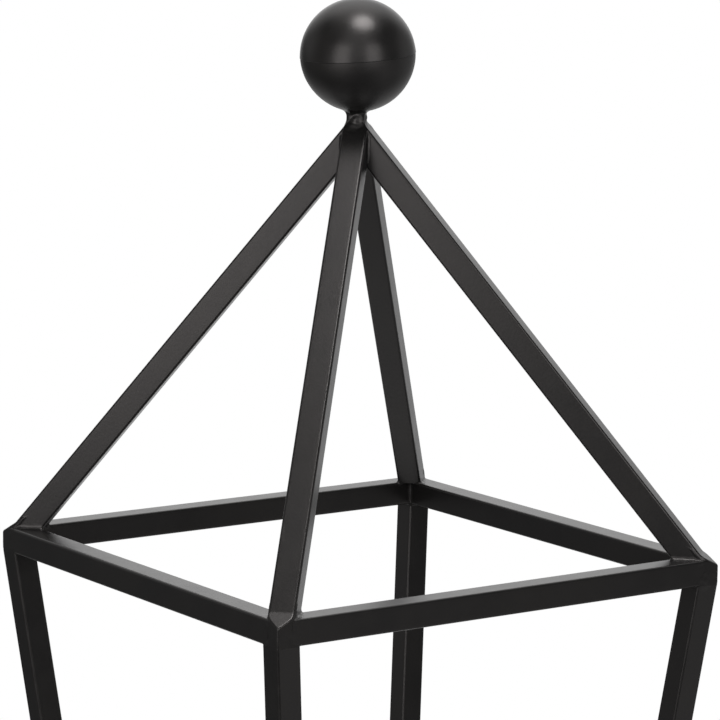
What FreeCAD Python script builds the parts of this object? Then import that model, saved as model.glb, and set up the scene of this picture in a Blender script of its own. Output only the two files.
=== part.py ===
"""Garden obelisk of welded square steel tube: a square ring carried on four legs that lean in
towards the ground, four rafters that rise from the ring's corners to a point, and a hollow steel
ball welded on the point. Millimetres, +Z up, origin on the ground at the centre of the four feet.
The ring's sides run along X and Y; the front is -Y."""

import FreeCAD
import Part
import math
import os
import Sketcher

V = FreeCAD.Vector
doc = FreeCAD.newDocument("garden_obelisk")
sheet = doc.addObject("Spreadsheet::Sheet", "Dims")


# ---------------------------------------------------------------------------------------------
# driving dimensions
# ---------------------------------------------------------------------------------------------
class Size:
    """A number that carries the spreadsheet expression it comes from through arithmetic."""

    def __init__(self, value, text):
        self.value = float(value)
        self.text = text

    def __add__(self, other):
        other = as_size(other)
        return Size(self.value + other.value, "(%s + %s)" % (self.text, other.text))

    def __sub__(self, other):
        other = as_size(other)
        return Size(self.value - other.value, "(%s - %s)" % (self.text, other.text))

    def __mul__(self, other):
        other = as_size(other)
        return Size(self.value * other.value, "(%s * %s)" % (self.text, other.text))

    def __truediv__(self, other):
        other = as_size(other)
        return Size(self.value / other.value, "(%s / %s)" % (self.text, other.text))

    def __radd__(self, other):
        return as_size(other) + self

    def __rmul__(self, other):
        return as_size(other) * self

    def __neg__(self):
        return Size(-self.value, "(-%s)" % self.text)


def as_size(item):
    return item if isinstance(item, Size) else Size(item, repr(item))


aliases = []


def driving(alias, value):
    """Enters a driving dimension in the next row of the sheet."""
    aliases.append(alias)
    row = len(aliases)
    sheet.set("A%d" % row, alias)
    sheet.set("B%d" % row, str(value))
    sheet.setAlias("B%d" % row, alias)
    return Size(value, "Dims." + alias)


RING_SIDE = driving("ring_side", 260.0)         # outer side of the square ring
RING_HEIGHT = driving("ring_height", 600.0)     # top face of the ring above the ground
BASE_SIDE = driving("base_side", 132.0)         # outer side across the feet, at the ground
TUBE = driving("tube", 12.7)                    # square tube, outside
WALL = driving("wall", 1.2)                     # tube wall
TUBE_ROUND = driving("tube_round", 1.2)         # outer corner radius of the tube
WELD_GAP = driving("weld_gap", 0.8)             # thickness of the butt welds
RAFTER_REACH = driving("rafter_reach", 177.5)   # axis to a rafter's outer face, at the ring's top
RAFTER_RISE = driving("rafter_rise", 50.73)     # slope of a rafter, degrees
APEX_FLAT = driving("apex_flat", 213.0)         # flat on the apex, above the ring's top face
BALL_CENTRE = driving("ball_centre", 245.1)     # above the ring's top face
BALL_RADIUS = driving("ball_radius", 28.5)
BALL_WALL = driving("ball_wall", 1.2)
BALL_ROOT = driving("ball_root", 0.3)           # half the gap between the two hemispheres
STUB_RADIUS = driving("stub_radius", 3.5)
STUB_TOP = driving("stub_top", 219.5)           # above the ring's top face
STUB_PLAY = driving("stub_play", 0.05)          # radial play of the stub in the lower hemisphere
BEAD = driving("bead", 2.5)                     # leg length of the fillet welds
RAIL_LOW = driving("rail_low", 74.0)            # underside of the lower rails above the ground
FOOT_FLANGE = driving("foot_flange", 3.0)       # plug below the tube's end
FOOT_INSERT = driving("foot_insert", 16.0)      # plug inside the tube
FOOT_PLAY = driving("foot_play", 0.2)           # play of the plug in the tube, per side
doc.recompute()


def of_rise(name):
    """The sin, cos or tan of the rafters' slope."""
    value = getattr(math, name)(math.radians(RAFTER_RISE.value))
    return Size(value, "%s(%s * 1deg)" % (name, RAFTER_RISE.text))


SIN_RISE = of_rise("sin")
COS_RISE = of_rise("cos")
TAN_RISE = of_rise("tan")
DIAGONAL = math.sqrt(0.5)                       # part along X of a unit length at 45 degrees

RING_OUT = RING_SIDE / 2                        # axis to the ring's outer and inner faces
RING_IN = RING_OUT - TUBE
RING_MID = RING_HEIGHT - TUBE / 2
BORE = TUBE - 2 * WALL                          # inner width of the tube
MITRE_SLIP = WELD_GAP * DIAGONAL                # mitre face drawn back by half the weld, along X

LEAN = (RING_SIDE - BASE_SIDE) / 2 / (RING_HEIGHT - TUBE)   # sideways run of a leg per height
LEAN_SQUARED = LEAN * LEAN + 1
LEG_SECTION = TUBE * Size(math.sqrt(LEAN_SQUARED.value), "sqrt(%s)" % LEAN_SQUARED.text)
LEG_TOP = RING_HEIGHT - TUBE - WELD_GAP
LEG_AXIS = V(-LEAN.value, -LEAN.value, 1).normalize()

RAIL_TOP = RAIL_LOW + TUBE
RAFTER_IN = RAFTER_REACH - TUBE / SIN_RISE      # axis to a rafter's inner face, at the ring's top
RAFTER_AXIS = V(-COS_RISE.value, 0, SIN_RISE.value)
BALL_HEIGHT = RING_HEIGHT + BALL_CENTRE

CORNERS = ["front_left", "front_right", "back_right", "back_left"]
SIDES = ["front", "right", "back", "left"]

pieces = []


# ---------------------------------------------------------------------------------------------
# helpers for bodies, sketches and features
# ---------------------------------------------------------------------------------------------
def bind(item, prop, size):
    item.setExpression(prop, size.text)


def new_body(name, turn=0.0, lift=None):
    """A body turned about Z by degrees and raised by a size."""
    body = doc.addObject("PartDesign::Body", name)
    body.Placement = FreeCAD.Placement(V(0, 0, 0), FreeCAD.Rotation(V(0, 0, 1), turn))
    if lift:
        bind(body, "Placement.Base.z", lift)
    return body


def origin_item(body, role):
    """A plane or an axis of the body's origin."""
    for item in body.Origin.OriginFeatures:
        if item.Role == role:
            return item
    raise RuntimeError(role)


def new_sketch(body, name, role, offset=None):
    """A sketch on an origin plane; the normal of XZ_Plane, and so its offset, points to -Y."""
    sketch = body.newObject("Sketcher::SketchObject", name)
    sketch.AttachmentSupport = [(origin_item(body, role), "")]
    sketch.MapMode = "FlatFace"
    if offset:
        bind(sketch, "AttachmentOffset.Base.z", offset)
    return sketch


def dimension(sketch, label, size, kind, *targets):
    """A named constraint, bound to the sheet unless its size is a plain number."""
    index = sketch.addConstraint(Sketcher.Constraint(kind, *targets, as_size(size).value))
    sketch.renameConstraint(index, label)
    if isinstance(size, Size):
        bind(sketch, "Constraints." + label, size)


def polygon(sketch, points, tag="p"):
    """A closed outline whose corners are dimensioned from the sketch's origin."""
    places = [V(as_size(x).value, as_size(y).value, 0) for x, y in points]
    lines = []
    for i, place in enumerate(places):
        line = Part.LineSegment(place, places[(i + 1) % len(places)])
        lines.append(sketch.addGeometry(line, False))
    for i, line in enumerate(lines):
        following = lines[(i + 1) % len(lines)]
        sketch.addConstraint(Sketcher.Constraint("Coincident", line, 2, following, 1))
    for i, (x, y) in enumerate(points):
        dimension(sketch, "%s%d_x" % (tag, i), x, "DistanceX", -1, 1, lines[i], 1)
        dimension(sketch, "%s%d_y" % (tag, i), y, "DistanceY", -1, 1, lines[i], 1)


def extrude(body, kind, name, sketch, length, symmetric=False):
    """A Pad or a Pocket of a sketch."""
    item = body.newObject("PartDesign::" + kind, name)
    item.Profile = sketch
    bind(item, "Length", length)
    if symmetric:
        item.SideType = "Symmetric"
    return item


def spin(body, name, sketch):
    """A full turn of a sketch about the body's Z axis."""
    item = body.newObject("PartDesign::Revolution", name)
    item.Profile = sketch
    item.ReferenceAxis = (origin_item(body, "Z_Axis"), [""])
    item.Angle = 360


def four_round(body, name, base):
    """Four equal copies of a feature about the body's Z axis."""
    item = body.newObject("PartDesign::PolarPattern", name)
    item.Originals = [base]
    item.Axis = (origin_item(body, "Z_Axis"), [""])
    item.Angle = 360
    item.Occurrences = 4
    body.Tip = item


def along(edge, direction):
    """Whether an edge runs along a unit vector, either way."""
    run = edge.Vertexes[1].Point - edge.Vertexes[0].Point
    run.normalize()
    return abs(abs(run.dot(direction)) - 1) < 1e-3


def round_edges(body, name, base, direction, wanted=lambda edge: True):
    """The tube's corner radius on a feature's straight edges along a direction."""
    doc.recompute()
    picked = []
    for i, edge in enumerate(base.Shape.Edges, start=1):
        if isinstance(edge.Curve, Part.Line) and along(edge, direction) and wanted(edge):
            picked.append("Edge%d" % i)
    if not picked:
        raise RuntimeError("%s found no edges" % name)
    item = body.newObject("PartDesign::Fillet", name)
    item.Base = (base, picked)
    bind(item, "Radius", TUBE_ROUND)


# ---------------------------------------------------------------------------------------------
# upper ring: four mitred square tubes with their outer faces upright
# ---------------------------------------------------------------------------------------------
def ring_bar(side, turn):
    body = new_body("upper_ring_" + side, turn, RING_MID)
    sketch = new_sketch(body, "ring_outline_" + side, "XY_Plane")
    polygon(sketch, [
        (-(RING_OUT - MITRE_SLIP), -RING_OUT),
        (RING_OUT - MITRE_SLIP, -RING_OUT),
        (RING_IN - MITRE_SLIP, -RING_IN),
        (-(RING_IN - MITRE_SLIP), -RING_IN),
    ])
    bar = extrude(body, "Pad", "ring_bar_" + side, sketch, TUBE, symmetric=True)
    round_edges(body, "ring_round_" + side, bar, V(1, 0, 0))

    sketch = new_sketch(body, "ring_bore_sketch_" + side, "XY_Plane")
    polygon(sketch, [
        (-RING_SIDE, -(RING_OUT - WALL)),
        (RING_SIDE, -(RING_OUT - WALL)),
        (RING_SIDE, -(RING_IN + WALL)),
        (-RING_SIDE, -(RING_IN + WALL)),
    ])
    extrude(body, "Pocket", "ring_bore_" + side, sketch, BORE, symmetric=True)
    pieces.append(body)


def ring_welds():
    """The mitre welds: thin hollow slabs on the diagonals, flush with the tube faces."""
    body = new_body("upper_ring_corner_welds", 0.0, RING_MID)
    sketch = new_sketch(body, "mitre_outline", "XY_Plane")
    polygon(sketch, [
        (-(RING_OUT - MITRE_SLIP), -RING_OUT),
        (-RING_OUT, -RING_OUT),
        (-RING_OUT, -(RING_OUT - MITRE_SLIP)),
        (-RING_IN, -(RING_IN - MITRE_SLIP)),
        (-RING_IN, -RING_IN),
        (-(RING_IN - MITRE_SLIP), -RING_IN),
    ])
    slab = extrude(body, "Pad", "mitre_slab", sketch, TUBE, symmetric=True)
    four_round(body, "mitre_slabs", slab)

    sketch = new_sketch(body, "mitre_bore_sketch", "XY_Plane")
    for tag, half in (("outer", RING_OUT - WALL), ("inner", RING_IN + WALL)):
        polygon(sketch, [(-half, -half), (half, -half), (half, half), (-half, half)], tag)
    extrude(body, "Pocket", "mitre_bore", sketch, BORE, symmetric=True)
    pieces.append(body)


for i, side in enumerate(SIDES):
    ring_bar(side, 90.0 * i)
ring_welds()


# ---------------------------------------------------------------------------------------------
# legs: the same tube, leaning outwards as it rises, in both X and Y; ends cut level
# ---------------------------------------------------------------------------------------------
def half_at(height):
    """Centre plane to a leg's outer face at a height above the ground."""
    return BASE_SIDE / 2 + LEAN * height


def square(sketch, outer, inner, tag="p"):
    """A square in the front left quarter, between two distances from the centre planes."""
    polygon(sketch, [(-outer, -outer), (-inner, -outer), (-inner, -inner), (-outer, -inner)], tag)


def tube_section(sketch, height):
    """The level section of a leg's tube."""
    half = half_at(height)
    square(sketch, half, half - LEG_SECTION, "outer")
    square(sketch, half - WALL, half - LEG_SECTION + WALL, "inner")


def leaning_pad(body, name, sketch, length):
    """A pad along the leg's lean, its length still measured upright."""
    pad = extrude(body, "Pad", name, sketch, length)
    pad.UseCustomVector = True
    pad.Direction = V(-LEAN.value, -LEAN.value, 1)
    bind(pad, "Direction.x", -LEAN)
    bind(pad, "Direction.y", -LEAN)
    pad.AlongSketchNormal = True
    return pad


def outside_leg(edge):
    """Whether an edge lies on the outside of a leg's tube and not in its bore."""
    point = edge.Vertexes[0].Point
    half_section = LEG_SECTION.value / 2
    centre = half_at(point.z).value - half_section
    return abs(point.x + centre) > half_section - 0.3


def leg(corner, turn):
    body = new_body("leg_" + corner, turn)
    sketch = new_sketch(body, "leg_section_" + corner, "XY_Plane", FOOT_FLANGE)
    tube_section(sketch, FOOT_FLANGE)
    tube = leaning_pad(body, "leg_tube_" + corner, sketch, LEG_TOP - FOOT_FLANGE)
    round_edges(body, "leg_round_" + corner, tube, LEG_AXIS, outside_leg)
    pieces.append(body)


def leg_welds():
    """The butt welds between the legs and the underside of the ring."""
    body = new_body("leg_top_welds")
    sketch = new_sketch(body, "leg_weld_section", "XY_Plane", LEG_TOP)
    tube_section(sketch, LEG_TOP)
    weld = extrude(body, "Pad", "leg_weld", sketch, WELD_GAP)
    four_round(body, "leg_welds", weld)
    pieces.append(body)


def foot_plug(corner, turn):
    """A plastic plug: a flange under the leg and a block that slides into the tube."""
    body = new_body("foot_plug_" + corner, turn)
    sketch = new_sketch(body, "plug_flange_section_" + corner, "XY_Plane")
    half = half_at(0)
    square(sketch, half, half - LEG_SECTION)
    flange = leaning_pad(body, "plug_flange_" + corner, sketch, FOOT_FLANGE)
    round_edges(body, "plug_round_" + corner, flange, LEG_AXIS)

    sketch = new_sketch(body, "plug_insert_section_" + corner, "XY_Plane", FOOT_FLANGE)
    half = half_at(FOOT_FLANGE)
    margin = WALL + FOOT_PLAY
    square(sketch, half - margin, half - LEG_SECTION + margin)
    leaning_pad(body, "plug_insert_" + corner, sketch, FOOT_INSERT)
    pieces.append(body)


for i, corner in enumerate(CORNERS):
    leg(corner, 90.0 * i)
leg_welds()
for i, corner in enumerate(CORNERS):
    foot_plug(corner, 90.0 * i)


# ---------------------------------------------------------------------------------------------
# lower rails: short tubes between the legs, ends cut to the legs' lean
# ---------------------------------------------------------------------------------------------
RAIL_OUT = half_at(RAIL_LOW)        # axis to a rail's outer face
RAIL_IN = RAIL_OUT - TUBE
RAIL_BEAD_INSET = 2                 # a bead's start, outwards from the rail's inner face
RAIL_BEAD_SHORT = 3.5               # a bead is this much shorter than the tube is wide


def rail_half(height):
    """Half a rail's length at a height above the ground."""
    return half_at(height) - LEG_SECTION


def lower_rail(side, turn):
    body = new_body("lower_rail_" + side, turn)
    sketch = new_sketch(body, "rail_outline_" + side, "XZ_Plane", RAIL_IN)
    low = rail_half(RAIL_LOW)
    top = rail_half(RAIL_TOP)
    polygon(sketch, [(-low, RAIL_LOW), (low, RAIL_LOW), (top, RAIL_TOP), (-top, RAIL_TOP)])
    bar = extrude(body, "Pad", "rail_bar_" + side, sketch, TUBE)
    round_edges(body, "rail_round_" + side, bar, V(1, 0, 0))

    sketch = new_sketch(body, "rail_bore_sketch_" + side, "YZ_Plane")
    bore_out = -(RAIL_OUT - WALL)
    bore_in = -(RAIL_IN + WALL)
    polygon(sketch, [
        (bore_out, RAIL_LOW + WALL),
        (bore_in, RAIL_LOW + WALL),
        (bore_in, RAIL_TOP - WALL),
        (bore_out, RAIL_TOP - WALL),
    ])
    extrude(body, "Pocket", "rail_bore_" + side, sketch, RING_SIDE, symmetric=True)

    # mitre the ends where neighbouring rails would meet inside the leg's corner
    sketch = new_sketch(body, "rail_mitre_sketch_" + side, "XY_Plane")
    polygon(sketch, [
        (0, 0),
        (RING_SIDE, -RING_SIDE),
        (RING_SIDE, TUBE),
        (-RING_SIDE, TUBE),
        (-RING_SIDE, -RING_SIDE),
    ])
    extrude(body, "Pocket", "rail_mitre_" + side, sketch, RING_SIDE, symmetric=True)
    pieces.append(body)


def rail_welds():
    """Fillet welds above and below each rail end."""
    body = new_body("lower_rail_welds")
    sketch = new_sketch(body, "rail_bead_section", "XZ_Plane", RAIL_IN + RAIL_BEAD_INSET)
    levels = (("top", RAIL_TOP, RAIL_TOP + BEAD), ("bottom", RAIL_LOW, RAIL_LOW - BEAD))
    for end, sign in (("left_", -1), ("right_", 1)):
        for level, face, tip in levels:
            polygon(sketch, [
                (sign * rail_half(face), face),
                (sign * (rail_half(face) - BEAD), face),
                (sign * rail_half(tip), tip),
            ], end + level)
    beads = extrude(body, "Pad", "rail_beads", sketch, TUBE - RAIL_BEAD_SHORT)
    four_round(body, "rail_bead_set", beads)
    pieces.append(body)


for i, side in enumerate(SIDES):
    lower_rail(side, 90.0 * i)
rail_welds()

# ---------------------------------------------------------------------------------------------
# rafters: drawn in their own diagonal plane, X outwards; foot level, top mitred into a quarter
# ---------------------------------------------------------------------------------------------
BORE_OVERRUN = 20               # the bore's cut past the rafter's ends, along X
FOOT_BEAD_INSET = 0.6           # start of a foot bead, outwards from the rafter's inner face
VALLEY_BEAD_LIFT = 0.6          # start of a valley bead above the rafters' inner crossing
VALLEY_BEAD_SHORT = 0.8


def rafter(corner, turn):
    body = new_body("rafter_" + corner, turn, RING_HEIGHT)
    sketch = new_sketch(body, "rafter_outline_" + corner, "XZ_Plane")
    polygon(sketch, [
        (RAFTER_REACH, 0),
        (RAFTER_REACH - APEX_FLAT / TAN_RISE, APEX_FLAT),
        (0, APEX_FLAT),
        (0, RAFTER_IN * TAN_RISE),
        (RAFTER_IN, 0),
    ])
    bar = extrude(body, "Pad", "rafter_bar_" + corner, sketch, TUBE, symmetric=True)
    round_edges(body, "rafter_round_" + corner, bar, RAFTER_AXIS)

    sketch = new_sketch(body, "rafter_bore_sketch_" + corner, "XZ_Plane")
    bore_out = RAFTER_REACH - WALL / SIN_RISE + BORE_OVERRUN
    bore_in = RAFTER_REACH - (TUBE - WALL) / SIN_RISE + BORE_OVERRUN
    polygon(sketch, [
        (bore_out, -BORE_OVERRUN * TAN_RISE),
        (-BORE_OVERRUN, bore_out * TAN_RISE),
        (-BORE_OVERRUN, bore_in * TAN_RISE),
        (bore_in, -BORE_OVERRUN * TAN_RISE),
    ])
    extrude(body, "Pocket", "rafter_bore_" + corner, sketch, BORE, symmetric=True)

    # leave only the quarter within 45 degrees of the rafter's own X axis
    sketch = new_sketch(body, "rafter_mitre_sketch_" + corner, "XY_Plane")
    far = 2 * TUBE
    polygon(sketch, [(0, 0), (far, far), (-far, far), (-far, -far), (far, -far)])
    extrude(body, "Pocket", "rafter_mitre_" + corner, sketch, 3 * APEX_FLAT, symmetric=True)
    pieces.append(body)


def foot_welds():
    """Fillet welds along both sides of each rafter's foot."""
    body = new_body("rafter_foot_welds", 45.0, RING_HEIGHT)
    sketch = new_sketch(body, "foot_bead_section", "YZ_Plane", RAFTER_IN + FOOT_BEAD_INSET)
    for tag, sign in (("minus", -1), ("plus", 1)):
        polygon(sketch, [
            (sign * (TUBE / 2), 0),
            (sign * (TUBE / 2 + BEAD), 0),
            (sign * (TUBE / 2), BEAD),
        ], tag)
    beads = extrude(body, "Pad", "foot_beads", sketch, TUBE)
    four_round(body, "foot_bead_set", beads)
    pieces.append(body)


def seam_welds():
    """Upright fillet welds in the four valleys between neighbouring rafters."""
    body = new_body("apex_seam_welds", 0.0, RING_HEIGHT)
    start = (RAFTER_IN - TUBE / 2) * TAN_RISE + VALLEY_BEAD_LIFT
    sketch = new_sketch(body, "valley_section", "XY_Plane", start)
    valley = TUBE * DIAGONAL
    reach = BEAD * DIAGONAL
    polygon(sketch, [(valley, 0), (valley + reach, reach), (valley + reach, -reach)])
    length = TUBE / COS_RISE - BEAD * TAN_RISE - VALLEY_BEAD_SHORT
    bead = extrude(body, "Pad", "valley_bead", sketch, length)
    four_round(body, "valley_beads", bead)
    pieces.append(body)


for i, corner in enumerate(CORNERS):
    rafter(corner, 225.0 + 90.0 * i)
foot_welds()
seam_welds()

# ---------------------------------------------------------------------------------------------
# finial: two pressed hemispheres, the weld that joins them, the stub and the neck weld
# ---------------------------------------------------------------------------------------------
BALL_INNER = BALL_RADIUS - BALL_WALL
APEX_BLOCK_DEPTH = 20

# the neck weld's half section: radius, height above the apex flat
NECK_PROFILE = [
    (1.0, -3.2), (6.5, -3.2), (5.6, -1.6), (4.6, 0.0),
    (4.3, 1.6), (5.0, 3.2), (7.4, 5.2), (1.0, 5.2),
]


def ball_arc(radius, start, end):
    """The arc about the origin between two points, in either order."""
    angles = sorted(math.atan2(point.y, point.x) for point in (start, end))
    return Part.ArcOfCircle(Part.Circle(V(0, 0, 0), V(0, 0, 1), radius), *angles)


def hemisphere(name, sign, hole=None):
    """A hemisphere of sheet, sign +1 upper or -1 lower, with an optional hole at its pole."""
    body = new_body(name, 0.0, BALL_HEIGHT)
    sketch = new_sketch(body, name + "_section", "XZ_Plane")
    outer, inner, root = BALL_RADIUS.value, BALL_INNER.value, BALL_ROOT.value
    pole = hole.value if hole else 0.0
    root_inner = V(math.sqrt(inner ** 2 - root ** 2), sign * root, 0)
    root_outer = V(math.sqrt(outer ** 2 - root ** 2), sign * root, 0)
    pole_outer = V(pole, sign * math.sqrt(outer ** 2 - pole ** 2), 0)
    pole_inner = V(pole, sign * math.sqrt(inner ** 2 - pole ** 2), 0)

    root_line = sketch.addGeometry(Part.LineSegment(root_inner, root_outer), False)
    outer_arc = sketch.addGeometry(ball_arc(outer, root_outer, pole_outer), False)
    pole_line = sketch.addGeometry(Part.LineSegment(pole_outer, pole_inner), False)
    inner_arc = sketch.addGeometry(ball_arc(inner, pole_inner, root_inner), False)

    # arcs run anticlockwise, so the end at the root is the first above and the second below
    at_root, at_pole = (1, 2) if sign > 0 else (2, 1)
    for joint in (
        (root_line, 2, outer_arc, at_root),
        (outer_arc, at_pole, pole_line, 1),
        (pole_line, 2, inner_arc, at_pole),
        (inner_arc, at_root, root_line, 1),
        (outer_arc, 3, -1, 1),
        (inner_arc, 3, -1, 1),
    ):
        sketch.addConstraint(Sketcher.Constraint("Coincident", *joint))
    sketch.addConstraint(Sketcher.Constraint("Horizontal", root_line))
    sketch.addConstraint(Sketcher.Constraint("Vertical", pole_line))
    dimension(sketch, "outer", BALL_RADIUS, "Radius", outer_arc)
    dimension(sketch, "inner", BALL_INNER, "Radius", inner_arc)
    dimension(sketch, "root", sign * BALL_ROOT, "DistanceY", -1, 1, root_line, 1)
    if hole:
        dimension(sketch, "hole", hole, "DistanceX", -1, 1, pole_line, 1)
    else:
        sketch.addConstraint(Sketcher.Constraint("PointOnObject", pole_line, 1, -2))
    spin(body, name + "_spin", sketch)
    pieces.append(body)


def ball_seam():
    """The weld that fills the gap between the hemispheres."""
    body = new_body("finial_seam_weld", 0.0, BALL_HEIGHT)
    sketch = new_sketch(body, "seam_section", "XZ_Plane")
    polygon(sketch, [
        (BALL_INNER, -BALL_ROOT),
        (BALL_RADIUS, -BALL_ROOT),
        (BALL_RADIUS, BALL_ROOT),
        (BALL_INNER, BALL_ROOT),
    ])
    spin(body, "seam_spin", sketch)
    pieces.append(body)


def finial_stub():
    """The round stub that stands on the apex flat and enters the ball."""
    stub = doc.addObject("Part::Cylinder", "finial_stub")
    bind(stub, "Radius", STUB_RADIUS)
    bind(stub, "Height", STUB_TOP - APEX_FLAT)
    bind(stub, "Placement.Base.z", RING_HEIGHT + APEX_FLAT)
    pieces.append(stub)
    return stub


def rafter_block():
    """The four-sided block that the rafters' outer faces bound, flat on top."""
    block = doc.addObject("Part::Wedge", "apex_block")
    low = RAFTER_REACH - (APEX_FLAT - APEX_BLOCK_DEPTH) / TAN_RISE
    top = RAFTER_REACH - APEX_FLAT / TAN_RISE
    for axis, half in (("X", low), ("Z", low), ("X2", top), ("Z2", top)):
        bind(block, axis + "min", -half)
        bind(block, axis + "max", half)
    block.Ymin = 0
    block.Ymax = APEX_BLOCK_DEPTH
    # the wedge tapers along its own Y: stand it up, then turn its faces to the rafters
    turn = FreeCAD.Rotation(V(0, 0, 1), 45).multiply(FreeCAD.Rotation(V(1, 0, 0), 90))
    block.Placement = FreeCAD.Placement(V(0, 0, 0), turn)
    bind(block, "Placement.Base.z", RING_HEIGHT + APEX_FLAT - APEX_BLOCK_DEPTH)
    return block


def cut(name, base, tool):
    item = doc.addObject("Part::Cut", name)
    item.Base = base
    item.Tool = tool
    return item


def neck_weld(stub):
    """A waisted collar that flares onto the ball above and the rafters below."""
    blank = new_body("neck_blank", 0.0, RING_HEIGHT)
    sketch = new_sketch(blank, "neck_section", "XZ_Plane")
    polygon(sketch, [(radius, height + APEX_FLAT) for radius, height in NECK_PROFILE])
    spin(blank, "neck_spin", sketch)

    ball = doc.addObject("Part::Sphere", "ball_block")
    bind(ball, "Radius", BALL_RADIUS)
    bind(ball, "Placement.Base.z", BALL_HEIGHT)

    above_rafters = cut("neck_less_rafters", blank, rafter_block())
    round_stub = cut("neck_less_stub", above_rafters, stub)
    pieces.append(cut("finial_neck_weld", round_stub, ball))


hemisphere("finial_upper_shell", 1)
hemisphere("finial_lower_shell", -1, STUB_RADIUS + STUB_PLAY)
ball_seam()
neck_weld(finial_stub())

# ---------------------------------------------------------------------------------------------
# check and write
# ---------------------------------------------------------------------------------------------
doc.recompute()
bad = [item.Name for item in doc.Objects if "Invalid" in item.State or "Error" in item.State]
if bad:
    raise RuntimeError("failed objects: %s" % ", ".join(bad))
for piece in pieces:
    if piece.Shape.isNull() or not piece.Shape.isValid() or not piece.Shape.Solids:
        raise RuntimeError("bad shape: " + piece.Label)
os.makedirs("parts", exist_ok=True)
for piece in pieces:
    piece.Shape.exportStep("parts/%s.step" % piece.Label)
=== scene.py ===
"""Garden obelisk in satin black powder coat.

It stands on the ground, centred on the Z axis, with its front toward -Y. Four square-tube legs
lean outward from plastic foot plugs to a square ring, with rails between them lower down. Four
rafters rise from the ring's corners to a hollow ball. Shapes are in millimetres until a mesh is
made; materials and staging are in metres.
"""
import math
import bpy
import numpy as np
from mathutils import Matrix, Vector


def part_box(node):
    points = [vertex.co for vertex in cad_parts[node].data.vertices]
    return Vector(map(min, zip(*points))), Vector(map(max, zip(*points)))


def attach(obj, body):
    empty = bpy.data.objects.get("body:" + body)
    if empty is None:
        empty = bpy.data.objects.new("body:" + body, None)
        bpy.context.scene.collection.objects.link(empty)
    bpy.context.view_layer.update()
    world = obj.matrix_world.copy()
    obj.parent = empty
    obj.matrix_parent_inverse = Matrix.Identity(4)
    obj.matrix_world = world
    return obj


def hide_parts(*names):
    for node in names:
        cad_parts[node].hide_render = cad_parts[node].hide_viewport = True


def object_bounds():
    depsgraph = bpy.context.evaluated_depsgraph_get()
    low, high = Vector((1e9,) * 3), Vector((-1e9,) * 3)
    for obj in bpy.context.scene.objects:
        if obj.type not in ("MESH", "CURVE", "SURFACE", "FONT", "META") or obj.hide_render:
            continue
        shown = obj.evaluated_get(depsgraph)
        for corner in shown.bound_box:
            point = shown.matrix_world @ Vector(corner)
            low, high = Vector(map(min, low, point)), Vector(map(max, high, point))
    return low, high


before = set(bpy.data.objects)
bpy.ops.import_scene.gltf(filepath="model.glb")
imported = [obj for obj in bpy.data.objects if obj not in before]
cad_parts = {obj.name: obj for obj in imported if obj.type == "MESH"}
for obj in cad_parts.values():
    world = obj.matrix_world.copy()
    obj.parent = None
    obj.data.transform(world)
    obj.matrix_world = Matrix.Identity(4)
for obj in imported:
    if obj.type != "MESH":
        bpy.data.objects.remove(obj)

CAD_LO, CAD_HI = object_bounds()
BODY = "root"
MM = 0.001
CORNERS = ["front_left", "front_right", "back_right", "back_left"]
SIDES = ["front", "right", "back", "left"]
QUARTER_TURNS = [(1, 0), (0, 1), (-1, 0), (0, -1)]    # cosine and sine


# ----------------------------------------------------------------------------------------------
# sizes, in millimetres
# ----------------------------------------------------------------------------------------------
def box_mm(node):
    low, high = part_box(node)
    return np.array(low, float) / MM, np.array(high, float) / MM


ring_low, ring_high = box_mm("upper_ring_front")
RING_TOP, RING_LOW = ring_high[2], ring_low[2]
HALF = -ring_low[1]                       # centre axis to the ring's outer face
TUBE = RING_TOP - RING_LOW                # width of the square tube
ROUND = 1.2                               # radius of the tube's outer edges
INNER_ROUND = 0.35
WALL = 1.2
RING_MID = HALF - TUBE / 2                # centre axis to the middle of a ring bar
RING_MID_Z = RING_TOP - TUBE / 2

BALL_R = box_mm("finial_lower_shell")[1][0]
BALL_Z = box_mm("finial_upper_shell")[1][2] - BALL_R
FOOT_HALF = -box_mm("foot_plug_front_left")[0][0]

BASE = 66.0                               # centre axis to a leg's outer face at the ground
LEG_LOW = 3.0
LEAN = (HALF - BASE) / RING_LOW           # outward run per unit of height
SECT = TUBE * math.sqrt(1 + LEAN * LEAN)  # width of a leg's level section
LEG_SCALE = SECT / TUBE

rail_low, rail_high = box_mm("lower_rail_front")
RAIL_MID = -rail_low[1] - TUBE / 2        # centre axis to the middle of a rail
RAIL_MID_Z = (rail_low[2] + rail_high[2]) / 2

REACH = 177.5                             # centre axis to a rafter's outer face at the ring's top
RISE = math.radians(50.73)                # rafter slope

for size, expected, part in ((HALF, 130.0, "ring"), (TUBE, 12.7, "tube"), (BALL_R, 28.5, "ball"),
                             (FOOT_HALF, BASE, "base")):
    if abs(size - expected) > 1.0:
        raise RuntimeError("the frame's %s is %.2f mm, not %.2f" % (part, size, expected))

# camera axes; the ball's tilt and the lights are placed by them too
RIGHT = Vector((0.8266294941, -0.5626828570, 0.0084665159))
DOWN = Vector((-0.0801810410, -0.1326576723, -0.9879134287))
FORWARD = Vector((0.5570050988, 0.8159595238, -0.1547752418))


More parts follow.
